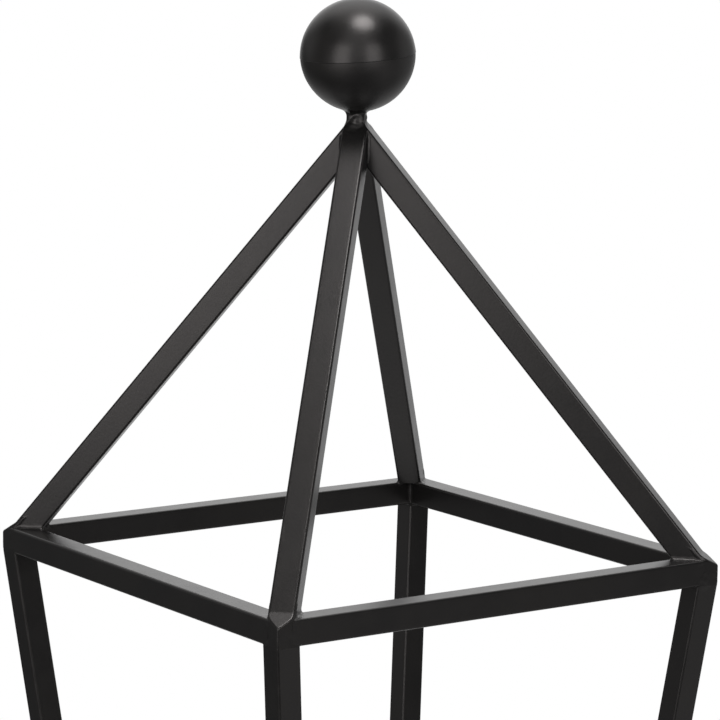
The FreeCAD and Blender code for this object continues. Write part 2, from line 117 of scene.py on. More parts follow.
# ----------------------------------------------------------------------------------------------
# node trees and materials
# ----------------------------------------------------------------------------------------------
class Tree:
    """The node tree of a material or world, emptied."""

    def __init__(self, owner):
        owner.use_nodes = True
        self.tree = owner.node_tree
        self.tree.nodes.clear()

    def new(self, kind, **properties):
        node = self.tree.nodes.new(kind)
        for key, value in properties.items():
            setattr(node, key, value)
        return node

    def feed(self, socket, value):
        """Link a socket, or set a number or an RGB colour."""
        if isinstance(value, bpy.types.NodeSocket):
            self.tree.links.new(value, socket)
        else:
            socket.default_value = (*value, 1.0) if isinstance(value, tuple) else value

    def feed_all(self, node, values):
        for key, value in values.items():
            self.feed(node.inputs[key], value)

    def ramp(self, value, start, end, low=0.0, high=1.0, interpolation="SMOOTHSTEP"):
        node = self.new("ShaderNodeMapRange", clamp=True, interpolation_type=interpolation)
        self.feed_all(node, {"Value": value, "From Min": start, "From Max": end,
                             "To Min": low, "To Max": high})
        return node.outputs["Result"]

    def math(self, operation, a, b):
        node = self.new("ShaderNodeMath", operation=operation)
        self.feed_all(node, {0: a, 1: b})
        return node.outputs[0]


class Material(Tree):
    """A Principled material textured in object coordinates."""

    def __init__(self, name):
        self.material = bpy.data.materials.new(name)
        super().__init__(self.material)
        self.out = self.new("ShaderNodeOutputMaterial")
        self.bsdf = self.new("ShaderNodeBsdfPrincipled")
        self.feed(self.out.inputs["Surface"], self.bsdf.outputs[0])
        self.coord = self.new("ShaderNodeTexCoord").outputs["Object"]

    def noise(self, scale, detail=2.0, roughness=0.5, distortion=0.0, coord=None):
        node = self.new("ShaderNodeTexNoise")
        self.feed_all(node, {"Vector": coord or self.coord, "Scale": scale, "Detail": detail,
                             "Roughness": roughness, "Distortion": distortion})
        return node.outputs["Fac"]

    def mix(self, factor, a, b):
        node = self.new("ShaderNodeMix", data_type="RGBA")
        self.feed_all(node, {"Factor": factor, 6: a, 7: b})
        return node.outputs[2]

    def tint(self, colour, other, mask, strength):
        """The colour, going toward another where the mask is high."""
        return self.mix(self.math("MULTIPLY", mask, strength), colour, other)

    def vary(self, base, mask, amount):
        return self.math("ADD", base, self.math("MULTIPLY", mask, amount))

    def bump(self, height, strength, distance, normal=None):
        node = self.new("ShaderNodeBump")
        self.feed_all(node, {"Strength": strength, "Distance": distance, "Height": height})
        if normal is not None:
            self.feed(node.inputs["Normal"], normal)
        return node.outputs["Normal"]


def powder_coat(name="black_powder_coat", gloss_loss=0.0):
    """Satin black with fine orange peel and slow mottling, a little lighter on edges."""
    m = Material(name)
    mottle = m.noise(scale=16.0, detail=3.0, roughness=0.55)
    patch = m.noise(scale=70.0, detail=4.0, roughness=0.6, distortion=0.4)
    peel = m.noise(scale=620.0, roughness=0.55)
    grain = m.noise(scale=2600.0, detail=1.0)
    speck = m.ramp(m.noise(scale=1500.0, roughness=0.6), start=0.66, end=0.78)
    pointiness = m.new("ShaderNodeNewGeometry").outputs["Pointiness"]
    edge = m.ramp(pointiness, start=0.515, end=0.60)
    worn = m.math("MULTIPLY", edge, m.ramp(patch, start=0.42, end=0.62))

    cool, warm = (0.0040, 0.0040, 0.0042), (0.0072, 0.0068, 0.0064)
    patch_grey, speck_grey = (0.0085, 0.0081, 0.0079), (0.016, 0.0155, 0.015)
    edge_grey = (0.022, 0.021, 0.020)
    colour = m.mix(m.ramp(mottle, start=0.35, end=0.65), cool, warm)
    colour = m.tint(colour, patch_grey, m.ramp(patch, start=0.35, end=0.75), strength=0.5)
    colour = m.tint(colour, speck_grey, speck, strength=0.5)
    colour = m.tint(colour, edge_grey, worn, strength=0.35)

    rough = m.vary(0.26 + gloss_loss, patch, amount=0.07)
    rough.node.label = "rough_base"
    rough = m.vary(rough, peel, amount=0.05)
    rough = m.vary(rough, edge, amount=0.04)
    normal = m.bump(peel, strength=0.10, distance=0.00025)
    normal = m.bump(grain, strength=0.06, distance=0.00006, normal=normal)
    m.feed_all(m.bsdf, {"Base Color": colour, "Roughness": rough, "IOR": 1.5,
                        "Specular Tint": (1.0, 0.945, 0.930), "Normal": normal})
    return m.material


def foot_plastic():
    """Moulded black plastic: grainy, duller than the coat, scuffed near the ground."""
    m = Material("black_foot_plastic")
    grain = m.noise(scale=1900.0, detail=3.0, roughness=0.6)
    cloud = m.noise(scale=120.0, detail=3.0)
    position = m.new("ShaderNodeSeparateXYZ")
    m.feed(position.inputs[0], m.coord)
    low = m.ramp(position.outputs["Z"], start=0.0, end=0.0016, low=1.0, high=0.0)
    scratches = m.noise(scale=420.0, detail=4.0, roughness=0.65, distortion=1.2)
    scuff = m.math("MULTIPLY", low, m.ramp(scratches, start=0.45, end=0.62))
    dark, pale, scuffed = (0.012, 0.012, 0.0125), (0.020, 0.020, 0.0205), (0.075, 0.072, 0.068)
    m.feed_all(m.bsdf, {
        "Base Color": m.tint(m.mix(cloud, dark, pale), scuffed, scuff, strength=0.7),
        "Roughness": m.vary(0.56, grain, amount=0.14),
        "Normal": m.bump(grain, strength=0.22, distance=0.0001)})
    return m.material


def bare_steel():
    """Mill-finish steel with streaks drawn along Z."""
    m = Material("bare_steel")
    stretch = m.new("ShaderNodeMapping")
    stretch.inputs["Scale"].default_value = (1.0, 1.0, 0.08)
    m.feed(stretch.inputs["Vector"], m.coord)
    streak = m.noise(scale=1400.0, detail=3.0, roughness=0.6, coord=stretch.outputs[0])
    mill_scale = m.noise(scale=260.0, detail=3.0, roughness=0.6)
    m.feed_all(m.bsdf, {
        "Base Color": m.mix(mill_scale, (0.34, 0.33, 0.32), (0.48, 0.47, 0.46)),
        "Metallic": 1.0,
        "Roughness": m.vary(0.28, streak, amount=0.2),
        "Normal": m.bump(streak, strength=0.15, distance=0.00005)})
    return m.material


COAT = powder_coat()
PLUG = foot_plastic()
BARE = bare_steel()
COAT_DULL = powder_coat("black_powder_coat_dull", gloss_loss=0.12)    # the ball's lower half


# ----------------------------------------------------------------------------------------------
# mesh helpers
# ----------------------------------------------------------------------------------------------
def turn(points, quarter):
    """Points turned about Z by a number of quarter turns."""
    c, s = QUARTER_TURNS[quarter % 4]
    p = np.array(points, float)
    return np.stack([c * p[..., 0] - s * p[..., 1], s * p[..., 0] + c * p[..., 1], p[..., 2]], -1)


def piece(name, verts, faces, nodes, material=COAT, normals=None,
          sharp=35.0, weighted=True):
    """An object from a mesh in millimetres, standing in for the named frame nodes."""
    mesh = bpy.data.meshes.new(name)
    mesh.from_pydata([tuple(p) for p in np.asarray(verts, float) * MM], [],
                     [tuple(int(i) for i in face) for face in faces])
    mesh.validate()
    mesh.update()
    mesh.polygons.foreach_set("use_smooth", [True] * len(mesh.polygons))
    ob = bpy.data.objects.new(name, mesh)
    bpy.context.scene.collection.objects.link(ob)
    mesh.materials.append(material)
    if normals is not None:
        mesh.normals_split_custom_set_from_vertices([tuple(n) for n in normals])
    else:
        mesh.set_sharp_from_angle(angle=math.radians(sharp))
        if weighted:
            modifier = ob.modifiers.new("flat_faces", "WEIGHTED_NORMAL")
            modifier.keep_sharp = True
            modifier.weight = 80
    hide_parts(*nodes)
    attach(ob, BODY)


def rounded_square(half, radius, arc_steps=7, flat_points=3):
    """Counter-clockwise outline of a rounded square, with points along its flats too."""
    inset = half - radius
    outline = []
    for c, s in QUARTER_TURNS:
        side = []
        for i in range(arc_steps + 1):
            a = i / arc_steps * math.pi / 2
            side.append((inset + radius * math.cos(a), inset + radius * math.sin(a)))
        for i in range(1, flat_points + 1):
            side.append((inset - 2 * inset * i / (flat_points + 1), half))
        outline += [(c * x - s * y, s * x + c * y) for x, y in side]
    return np.array(outline)


def loop_points(x, y, z):
    return np.stack(np.broadcast_arrays(x, y, z), -1)


def loft(loops):
    """Quads between successive loops of equal length; each end closed with one polygon."""
    n = len(loops[0])
    faces = []
    for a in range(0, (len(loops) - 1) * n, n):
        for i in range(n):
            j = (i + 1) % n
            faces.append((a + i, a + j, a + n + j, a + n + i))
    faces.append(tuple(range(n))[::-1])
    last = (len(loops) - 1) * n
    faces.append(tuple(range(last, last + n)))
    return np.concatenate(loops), faces


OUTER_SECTION = rounded_square(TUBE / 2, ROUND)
INNER_SECTION = rounded_square(TUBE / 2 - WALL, INNER_ROUND)


def hollow_tube(loops_of, order=-1):
    """Outer and inner walls and end rings; loops_of gives a section's loops along the tube.

    The order is 1 or -1, the way round the section that makes the faces look outward.
    """
    outer, inner = [loops_of(section[::order]) for section in (OUTER_SECTION, INNER_SECTION)]
    n = len(outer[0])
    inside = len(outer) * n
    faces = []
    for a in range(0, inside - n, n):
        b = a + n
        for i in range(n):
            j = (i + 1) % n
            faces.append((a + i, a + j, b + j, b + i))
            faces.append((inside + a + i, inside + b + i, inside + b + j, inside + a + j))
    end = inside - n
    for i in range(n):
        j = (i + 1) % n
        faces.append((i, inside + i, inside + j, j))
        faces.append((end + i, end + j, inside + end + j, inside + end + i))
    return np.concatenate(outer + inner), faces


# ----------------------------------------------------------------------------------------------
# distance fields (negative inside), whose zero surfaces make the welds
# ----------------------------------------------------------------------------------------------
def soft_min(a, b, blend):
    """Union with a fillet about as wide as the blend."""
    blend = np.maximum(blend, 1e-4)
    h = np.clip(0.5 + 0.5 * (b - a) / blend, 0.0, 1.0)
    return b + (a - b) * h - blend * h * (1.0 - h)


def soft_max(a, b, blend):
    """Intersection with a softened edge."""
    return -soft_min(-a, -b, blend)


def ease(x, start, end):
    t = np.clip((x - start) / (end - start), 0.0, 1.0)
    return t * t * (3 - 2 * t)


def near(width, *distances):
    """1 where all the distances are zero, falling off over the width."""
    return np.exp(-sum(d ** 2 for d in distances) / (2 * width ** 2))


def ripple(points, seed, shortest=2.6, longest=7.0, count=14):
    """A smooth seeded field of about unit size, summed from waves of random direction."""
    rng = np.random.default_rng(seed)
    total = np.zeros(points.shape[:-1])
    for _ in range(count):
        way = rng.normal(size=3)
        way /= np.linalg.norm(way)
        wave = rng.uniform(shortest, longest)
        phase = rng.uniform(0, 2 * math.pi)
        total += np.sin(points @ way * (2 * math.pi / wave) + phase) * (wave / longest)
    return total / math.sqrt(count)


def xyz(points):
    return points[..., 0], points[..., 1], points[..., 2]


def slab(offset, half=TUBE / 2):
    return np.abs(offset) - half


def bar(across, up):
    """A bar with rounded edges, from its two slabs."""
    a, b = across + ROUND, up + ROUND
    outside = np.sqrt(np.maximum(a, 0) ** 2 + np.maximum(b, 0) ** 2)
    return outside + np.minimum(np.maximum(a, b), 0) - ROUND


def distance_to(points, centre, z_scale=1.0):
    x, y, z = xyz(points)
    return np.sqrt((x - centre[0]) ** 2 + (y - centre[1]) ** 2 + (z_scale * (z - centre[2])) ** 2)


def sink(field, radius, proud, start, rate, limit):
    """Stand a little proud, sink under the tubes beyond the start radius, stop at the limit."""
    past = np.maximum(radius - start, 0.0)
    return np.maximum(field - proud + rate * past ** 2, radius - limit)


def gradient(field, points, step=0.02):
    slope = np.zeros_like(points)
    for axis in range(3):
        shift = np.zeros(3)
        shift[axis] = step
        slope[:, axis] = (field(points + shift) - field(points - shift)) / (2 * step)
    return slope


def net_vertices(value, cells):
    """For each cell, the mean of the zero crossings on its edges, in grid units."""
    total = np.zeros((len(cells), 3))
    hits = np.zeros(len(cells))
    for corner in np.ndindex(2, 2, 2):
        a = np.array(corner)
        for axis in range(3):
            if a[axis]:
                continue
            b = a.copy()
            b[axis] = 1
            start = cells + a
            va, vb = value[tuple(start.T)], value[tuple((cells + b).T)]
            cross = (va < 0) != (vb < 0)
            t = np.where(cross, va / np.where(cross, va - vb, 1.0), 0.0)
            total += np.where(cross[:, None], start + t[:, None] * (b - a), 0.0)
            hits += cross
    return total / hits[:, None]


def net_faces(inside, index):
    """One quad around each grid edge that crosses the surface, wound outward."""
    shape = inside.shape
    faces = []
    for axis in range(3):
        u, w = (axis + 1) % 3, (axis + 2) % 3
        start, end = [slice(None)] * 3, [slice(None)] * 3
        start[axis], end[axis] = slice(0, -1), slice(1, None)
        at_start = inside[tuple(start)]
        edges = np.argwhere(at_start != inside[tuple(end)])
        within = (edges[:, u] > 0) & (edges[:, w] > 0)
        within &= (edges[:, u] < shape[u] - 1) & (edges[:, w] < shape[w] - 1)
        edges = edges[within]
        quads = []
        for du, dw in ((-1, -1), (0, -1), (0, 0), (-1, 0)):
            cell = edges.copy()
            cell[:, u] += du
            cell[:, w] += dw
            quads.append(index[tuple(cell.T)])
        quads = np.stack(quads, 1)
        faces.append(np.where(at_start[tuple(edges.T)][:, None], quads, quads[:, ::-1]))
    faces = np.concatenate(faces)
    return faces[(faces >= 0).all(1)]


def surface(field, low, high, step):
    """Vertices, quads and outward normals of field = 0 in a box, by surface nets."""
    shape = np.maximum(np.ceil((high - low) / step).astype(int), 4) + 1
    axes = [low[i] + step * np.arange(shape[i]) for i in range(3)]
    grid = np.stack(np.meshgrid(*axes, indexing="ij"), -1)
    value = field(grid.reshape(-1, 3)).reshape(shape)
    inside = value < 0
    ends = (slice(0, -1), slice(1, None))
    count = sum(inside[ends[i], ends[j], ends[k]].astype(int) for i, j, k in np.ndindex(2, 2, 2))
    active = (count > 0) & (count < 8)
    cells = np.argwhere(active)
    index = -np.ones(shape - 1, int)
    index[active] = np.arange(len(cells))
    verts = low + step * net_vertices(value, cells)
    faces = net_faces(inside, index)
    # pull the vertices onto the surface, at most half a grid step at a time
    for _ in range(4):
        slope = gradient(field, verts)
        steepness = np.maximum((slope * slope).sum(1), 0.09)
        move = -(field(verts) / steepness)[:, None] * slope
        length = np.linalg.norm(move, axis=1)
        verts = verts + move * np.minimum(1.0, 0.5 * step / np.maximum(length, 1e-9))[:, None]
    normals = gradient(field, verts)
    normals /= np.maximum(np.linalg.norm(normals, axis=1), 1e-9)[:, None]
    used = np.unique(faces)
    renumber = -np.ones(len(verts), int)
    renumber[used] = np.arange(len(used))
    return verts[used], renumber[faces], normals[used]


def weld_piece(name, field, low, high, step, nodes, quarter=0):
    """A weld from a field and box at the front left, turned to its place."""
    a, b = turn(low, quarter), turn(high, quarter)
    verts, faces, normals = surface(lambda points: field(turn(points, -quarter)),
                                    np.minimum(a, b), np.maximum(a, b), step)
    piece(name, verts, faces, nodes, normals=normals)


def leg_centre(z):
    """X, and also Y, of the front left leg's centre at a height."""
    return -(BASE + LEAN * z - SECT / 2)


def leg_field(points):
    """The front left leg as an endless leaning bar."""
    x, y, z = xyz(points)
    centre = leg_centre(z)
    square = 1 / math.sqrt(1 + LEAN * LEAN)
    return bar(slab((x - centre) * square), slab((y - centre) * square))


def rafter_field(points):
    """The front left rafter as an endless bar.

    Also the distances out along its corner, across it, above the ring, and off its outer face.
    """
    x, y, z = xyz(points)
    out = -(x + y) * math.sqrt(0.5)
    across = (x - y) * math.sqrt(0.5)
    above = z - RING_TOP
    off_face = (out - REACH) * math.sin(RISE) + above * math.cos(RISE)
    return bar(slab(off_face + TUBE / 2), slab(across)), out, across, above, off_face


def ring_field(points):
    """The front and left ring bars, each ending softly at the other's outer face."""
    x, y, z = xyz(points)
    level = slab(z - RING_MID_Z)
    front = soft_max(bar(slab(y + RING_MID), level), -(x + HALF), blend=1.0)
    left = soft_max(bar(slab(x + RING_MID), level), -(y + HALF), blend=1.0)
    return np.minimum(front, left)


# ----------------------------------------------------------------------------------------------
# ring corners, where ring bars, leg and rafter are welded and ground
# ----------------------------------------------------------------------------------------------
CORNER_CENTRE = np.array([-RING_MID + 0.3, -RING_MID + 0.3, RING_TOP - 6.5])
CORNER_REACH = (22.0, 22.0, 27.5)
# top and bottom of the ground facet: distance out along the corner, height above the ring
FACET_TOP, FACET_LOW = (175.0, 2.9), (183.85, -3.1)
facet_length = math.hypot(FACET_LOW[0] - FACET_TOP[0], FACET_LOW[1] - FACET_TOP[1])
FACET_NORMAL = ((FACET_TOP[1] - FACET_LOW[1]) / facet_length,
                (FACET_LOW[0] - FACET_TOP[0]) / facet_length)


def corner_field(points, seed):
    x, y, z = xyz(points)
    rafter, out, across, above, off_face = rafter_field(points)
    ring = ring_field(points)
    leg = np.maximum(leg_field(points), z - RING_LOW - 0.05)
    at_rafter = near(1.4, rafter, ring)

    # weld metal heaped between the rafter's outer face and the corner, then ground flat with it
    outer_faces = bar(-(x + HALF), -(y + HALF))
    lump = np.maximum.reduce([soft_max(slab(across, half=5.9), outer_faces, blend=1.4),
                              slab(above - 0.5, half=4.5),
                              slab(off_face - 3.0, half=4.2)])
    sides = ease(np.abs(across), start=3.5, end=6.5)
    body = np.minimum(ring, lump) + ripple(points, seed) * 0.065 * at_rafter * sides
    facet = ((out - FACET_TOP[0]) * FACET_NORMAL[0] + (above - FACET_TOP[1]) * FACET_NORMAL[1])
    body = soft_max(body, facet, blend=0.7)

    # fillets are soft only behind the outer faces
    depth = np.minimum(HALF + x, HALF + y)
    soft = np.clip((depth - 0.5) / 3.0, 0.0, 1.0)
    column = np.maximum(bar(slab(x + RING_MID), slab(y + RING_MID)),
                        slab(z - (RING_LOW + 1.0), half=1.1))
    low = soft_min(np.minimum(body, column), leg, blend=1.5 * soft)

    # small fillet of weld in the ring's inner corner
    inner = np.maximum.reduce([slab(out - (HALF - TUBE) * math.sqrt(2) - 1.0, half=1.5),
                               slab(across, half=2.4),
                               slab(z - RING_MID_Z, half=TUBE / 2 - 0.5)])
    low = soft_min(low, inner, blend=1.0)

    foot = np.maximum(rafter, -above - 0.3)
    flank = ease(-off_face, start=-0.2, end=2.2)
    field = soft_min(low, foot, blend=0.2 + 1.8 * soft * flank)
    seams = flank * at_rafter + 0.3 * near(1.0, leg, ring)
    field = field + ripple(points, seed) * 0.06 * seams
    radius = distance_to(points, CORNER_CENTRE, z_scale=0.8)
    return sink(field, radius, proud=0.008, start=14.0, rate=0.003, limit=21.0)


for i, corner in enumerate(CORNERS):
    low = CORNER_CENTRE - CORNER_REACH
    low[:2] = np.maximum(low[:2], -HALF - 1.5)
    weld_piece("corner_weld_" + corner, lambda points: corner_field(points, seed=11 + i),
               low, CORNER_CENTRE + CORNER_REACH, step=0.5, quarter=i,
               nodes=["upper_ring_corner_welds", "rafter_foot_welds", "leg_top_welds"])


# ----------------------------------------------------------------------------------------------
# straight tubes; gaps keep their cut ends inside the welds
# ----------------------------------------------------------------------------------------------
RING_TIP_INSET = 7.8         # furthest a ring bar's tip may come to the outer face, before its gap
RING_GAP = 0.4
LEG_STEP = 12.0
RAFTER_FOOT_GAP = 0.25       # above the ring's top
RAFTER_TIP_GAP = 0.3
RAIL_OVERLAP = 0.5           # how far a rail runs into a leg
RAIL_GAP = 0.02


def ring_loops(section):
    """Front ring bar along X, mitred at both ends."""
    across, up = section.T
    end = np.minimum(RING_MID - across, HALF - RING_TIP_INSET) - RING_GAP
    return [loop_points(t * end, -RING_MID + across, RING_MID_Z + up)
            for t in np.linspace(-1.0, 1.0, 29)]


def leg_loops(section):
    """Front left leg, in level loops."""
    x, y = section.T * LEG_SCALE
    bottom, top = LEG_LOW + 0.05, RING_LOW - 0.1
    steps = int(round((top - bottom) / LEG_STEP))
    return [loop_points(leg_centre(z) + x, leg_centre(z) + y, z)
            for z in np.linspace(bottom, top, steps + 1)]


def rafter_loops(section):
    """Rafter over +X with its foot at height 0, cut level there and mitred at the top."""
    normal = np.array([math.sin(RISE), 0, math.cos(RISE)])
    along = np.array([-math.cos(RISE), 0, math.sin(RISE)])
    middle = np.array([REACH, 0, 0]) - normal * TUBE / 2
    up, across = section.T
    base = middle + up[:, None] * normal + across[:, None] * np.array([0, 1, 0])
    start = (RAFTER_FOOT_GAP - base[:, 2]) / along[2]
    end = (base[:, 0] - np.abs(across) - RAFTER_TIP_GAP) / -along[0]
    return [base + along * (start + (end - start) * t)[:, None] for t in np.linspace(0, 1, 31)]


def rail_loops(section):
    """Front lower rail along X, its ends following the leaning legs."""
    across, up = section.T
    y, z = -RAIL_MID + across, RAIL_MID_Z + up
    end = np.minimum(BASE + LEAN * z - SECT + RAIL_OVERLAP, -y - RAIL_GAP)
    return [loop_points(t * end, y, z) for t in np.linspace(-1.0, 1.0, 13)]


for i, side in enumerate(SIDES):
    verts, faces = hollow_tube(ring_loops)
    piece("ring_bar_" + side, turn(verts, i), faces, ["upper_ring_" + side])

for i, corner in enumerate(CORNERS):
    verts, faces = hollow_tube(leg_loops, order=1)
    piece("leg_tube_" + corner, turn(verts, i), faces, ["leg_" + corner])

for i, corner in enumerate(CORNERS):
    verts, faces = hollow_tube(rafter_loops)
    angle = math.radians(225 + 90 * i)
    c, s = math.cos(angle), math.sin(angle)
    x, y, z = xyz(verts)
    piece("rafter_tube_" + corner, loop_points(c * x - s * y, s * x + c * y, z + RING_TOP), faces,
          ["rafter_" + corner])

for i, side in enumerate(SIDES):
    verts, faces = hollow_tube(rail_loops)
    piece("rail_tube_" + side, turn(verts, i), faces, ["lower_rail_" + side])


# ----------------------------------------------------------------------------------------------
# welds where the rails meet the legs
# ----------------------------------------------------------------------------------------------
RAIL_CORNER = leg_centre(RAIL_MID_Z)
RAIL_WELD_CENTRE = np.array([RAIL_CORNER, RAIL_CORNER, RAIL_MID_Z])
RAIL_WELD_REACH = (18.5, 18.5, 21.5)


def rail_weld_field(points, seed):
    x, y, z = xyz(points)
    leg = leg_field(points)
    level = slab(z - RAIL_MID_Z)
    front = np.maximum(bar(slab(y + RAIL_MID), level), -(x - RAIL_CORNER))
    left = np.maximum(bar(slab(x + RAIL_MID), level), -(y - RAIL_CORNER))
    # fillets are soft only behind the leg's outer faces
    face = BASE + LEAN * z
    depth = np.minimum(face + x, face + y)
    soft = np.clip((depth - 0.3) / 2.5, 0.0, 1.0)
    rails = soft_min(front, left, blend=soft)
    field = soft_min(leg, rails, blend=0.15 + 2.3 * soft)
    roughness = 0.012 + 0.11 * near(1.5, leg, rails)
    field = field + ripple(points, seed, shortest=2.0, longest=5.0) * roughness
    radius = distance_to(points, RAIL_WELD_CENTRE, z_scale=0.85)
    return sink(field, radius, proud=0.012, start=11.5, rate=0.006, limit=17.5)


for i, corner in enumerate(CORNERS):
    weld_piece("rail_weld_" + corner, lambda points: rail_weld_field(points, seed=31 + i),
               RAIL_WELD_CENTRE - RAIL_WELD_REACH, RAIL_WELD_CENTRE + RAIL_WELD_REACH,
               step=0.5, nodes=["lower_rail_welds"], quarter=i)


# ----------------------------------------------------------------------------------------------
# foot plugs: a flange with a shallow hollow under it, and a ribbed insert inside the leg
# ----------------------------------------------------------------------------------------------
# underside hollow, from its middle outward: inset from the tube's face, height
PLUG_HOLLOW = [(4.9, 0.55), (2.6, 0.55), (2.2, 0.45), (2.0, 0.12), (1.8, 0.0)]
PLUG_HOLLOW_RADIUS = 0.6
# flange, then insert, going up: height, inset from the tube's face, corner radius
PLUG_SIDES = [
    (0.0, 0.75, 0.7), (0.1, 0.35, 0.95), (0.35, 0.08, 1.15), (0.8, 0.0, 1.2), (2.3, 0.0, 1.2),
    (2.75, 0.05, 1.2), (2.95, 0.3, 1.0), (3.0, 1.3, 0.5),
    (4.0, 1.42, 0.4), (5.0, 1.42, 0.4), (5.3, 1.75, 0.4), (7.0, 1.75, 0.4), (7.3, 1.42, 0.4),
    (9.0, 1.42, 0.4), (9.3, 1.75, 0.4), (11.0, 1.75, 0.4), (11.3, 1.42, 0.4), (13.0, 1.42, 0.4),
    (13.3, 1.75, 0.4), (17.5, 1.75, 0.4), (19.0, 2.4, 0.6),
]


def plug_loop(height, inset, radius, centre):
    x, y = rounded_square(TUBE / 2 - inset, radius).T * LEG_SCALE
    return loop_points(centre + x, centre + y, height)


def foot_plug():
    """Front left plug; the hollow is centred on the leg at the ground, the rest leans with it."""
    loops = [plug_loop(height, inset, PLUG_HOLLOW_RADIUS, leg_centre(0.0))
             for inset, height in PLUG_HOLLOW]
    loops += [plug_loop(height, inset, radius, leg_centre(height))
              for height, inset, radius in PLUG_SIDES]
    return loft(loops)


for i, corner in enumerate(CORNERS):
    verts, faces = foot_plug()
    piece("foot_plug_moulded_" + corner, turn(verts, i), faces, ["foot_plug_" + corner],
          material=PLUG, sharp=50)

# ----------------------------------------------------------------------------------------------
# finial ball: two pressed halves and the weld between them
# ----------------------------------------------------------------------------------------------
SHORT = 0.54                         # each half is this much less than a hemisphere
R_OUT = BALL_R + 0.12
R_IN = BALL_R - 1.2
STUB_HOLE_R = 3.6                    # in the lower half's pole
SEAM_R = R_OUT - 0.27                # outermost radius of the equator weld
SEAM_HALF_WIDTH, SEAM_HALF_HEIGHT = 0.35, 0.45
SEAM_Z = -0.08


def tilt_ball(points):
    """From the ball's own axes to its place, a few degrees off upright."""
    tilt = (Matrix.Rotation(math.radians(3.6), 3, -FORWARD)
            @ Matrix.Rotation(math.radians(3.5), 3, RIGHT))
    return np.asarray(points) @ np.array(tilt).T + np.array([0.0, 0.0, BALL_Z])


def spin(profile, segments=176):
    """Surface of revolution from a closed profile of (radius, height); axis points are shared."""
    verts, rows = [], []
    for radius, z in profile:
        first = len(verts)
        if radius < 1e-6:
            rows.append([first] * segments)
            verts.append((0.0, 0.0, z))
            continue
        for k in range(segments):
            a = 2 * math.pi * k / segments
            verts.append((radius * math.cos(a), radius * math.sin(a), z))
        rows.append(list(range(first, first + segments)))
    faces = []
    for a, b in zip(rows, rows[1:] + rows[:1]):
        for k in range(segments):
            m = (k + 1) % segments
            quad = [a[k], a[m], b[m], b[k]]
            face = [quad[j] for j in range(4) if quad[j] != quad[(j + 1) % 4]]
            if len(set(face)) >= 3:
                faces.append(tuple(face))
    return np.array(verts), faces


def press_marks(points, seed, size=0.035):
    """Points moved slightly in and out along their own direction, except by the seam."""
    way = points / np.maximum(np.linalg.norm(points, axis=1), 1e-9)[:, None]
    wave = ripple(way * 28.5, seed, shortest=16.0, longest=46.0, count=10)
    away = ease(np.abs(points[:, 2]), start=1.0, end=6.0)
    return points + way * (wave * size * away)[:, None]


def half_shell(up, hole, lip_height, flare, flare_height, lip):
    """Profile of a half: outer wall from pole to lip, then back inside. Up is 1 or -1.

    The lip is two steps, each an inward move and a height.
    """
    profile = []
    for a in np.linspace(math.acos(hole / R_OUT), math.asin((lip_height + SHORT) / R_OUT), 72):
        radius, z = R_OUT * math.cos(a), R_OUT * math.sin(a) - SHORT
        radius += flare * math.exp(-z / flare_height)
        profile.append((0.0 if a > math.pi / 2 - 1e-6 else radius, up * z))
    for inward, z in lip:
        profile.append((profile[-1][0] - inward, up * z))
    for a in np.linspace(math.asin(SHORT / R_IN), math.acos(hole / R_IN), 40):
        radius, z = R_IN * math.cos(a), R_IN * math.sin(a) - SHORT
        profile.append((0.0 if a > math.pi / 2 - 1e-6 else radius, up * z))
    return profile


verts, faces = spin(half_shell(up=1, hole=0.0, lip_height=0.10, flare=0.16, flare_height=2.2,
                               lip=((0.06, 0.03), (0.20, 0.0))))
piece("finial_ball_upper", tilt_ball(press_marks(verts, seed=5)), faces,
      ["finial_upper_shell"], sharp=40, weighted=False)

verts, faces = spin(half_shell(up=-1, hole=STUB_HOLE_R, lip_height=0.16, flare=-0.05,
                               flare_height=1.6, lip=((0.10, 0.05), (0.22, 0.0))))
piece("finial_ball_lower", tilt_ball(press_marks(verts, seed=6)), faces,
      ["finial_lower_shell"], material=COAT_DULL, sharp=40, weighted=False)

# root of the equator weld, seen only as the dark line between the halves
verts, faces = spin([(SEAM_R - SEAM_HALF_WIDTH + SEAM_HALF_WIDTH * math.cos(a),
                      SEAM_Z + SEAM_HALF_HEIGHT * math.sin(a))
                     for a in np.linspace(0, 2 * math.pi, 10, endpoint=False)])
piece("finial_equator_weld", tilt_ball(verts), faces, ["finial_seam_weld"], sharp=60,
      weighted=False)

# ----------------------------------------------------------------------------------------------
# neck: ball, rafters and weld metal run together
# ----------------------------------------------------------------------------------------------
NECK_CENTRE = np.array([0.0, 0.0, RING_TOP + 208.0])
NECK_REACH = (14.5, 14.5, 22.8)
# weld runs around the neck: direction in degrees, height above the ring, distance out, radius
NECK_RUNS = [
    (233, 213.3, 2.6, 2.7), (262, 214.6, 2.3, 2.6), (170, 214.2, 2.3, 2.5),
    (50, 213.2, 2.5, 2.6), (330, 214.4, 2.2, 2.6), (110, 213.6, 2.4, 2.5),
]


def mitred_rafter(points, quarter):
    rafter, out, across, _, _ = rafter_field(turn(points, -quarter))
    return np.maximum(rafter, (np.abs(across) - out) * math.sqrt(0.5))


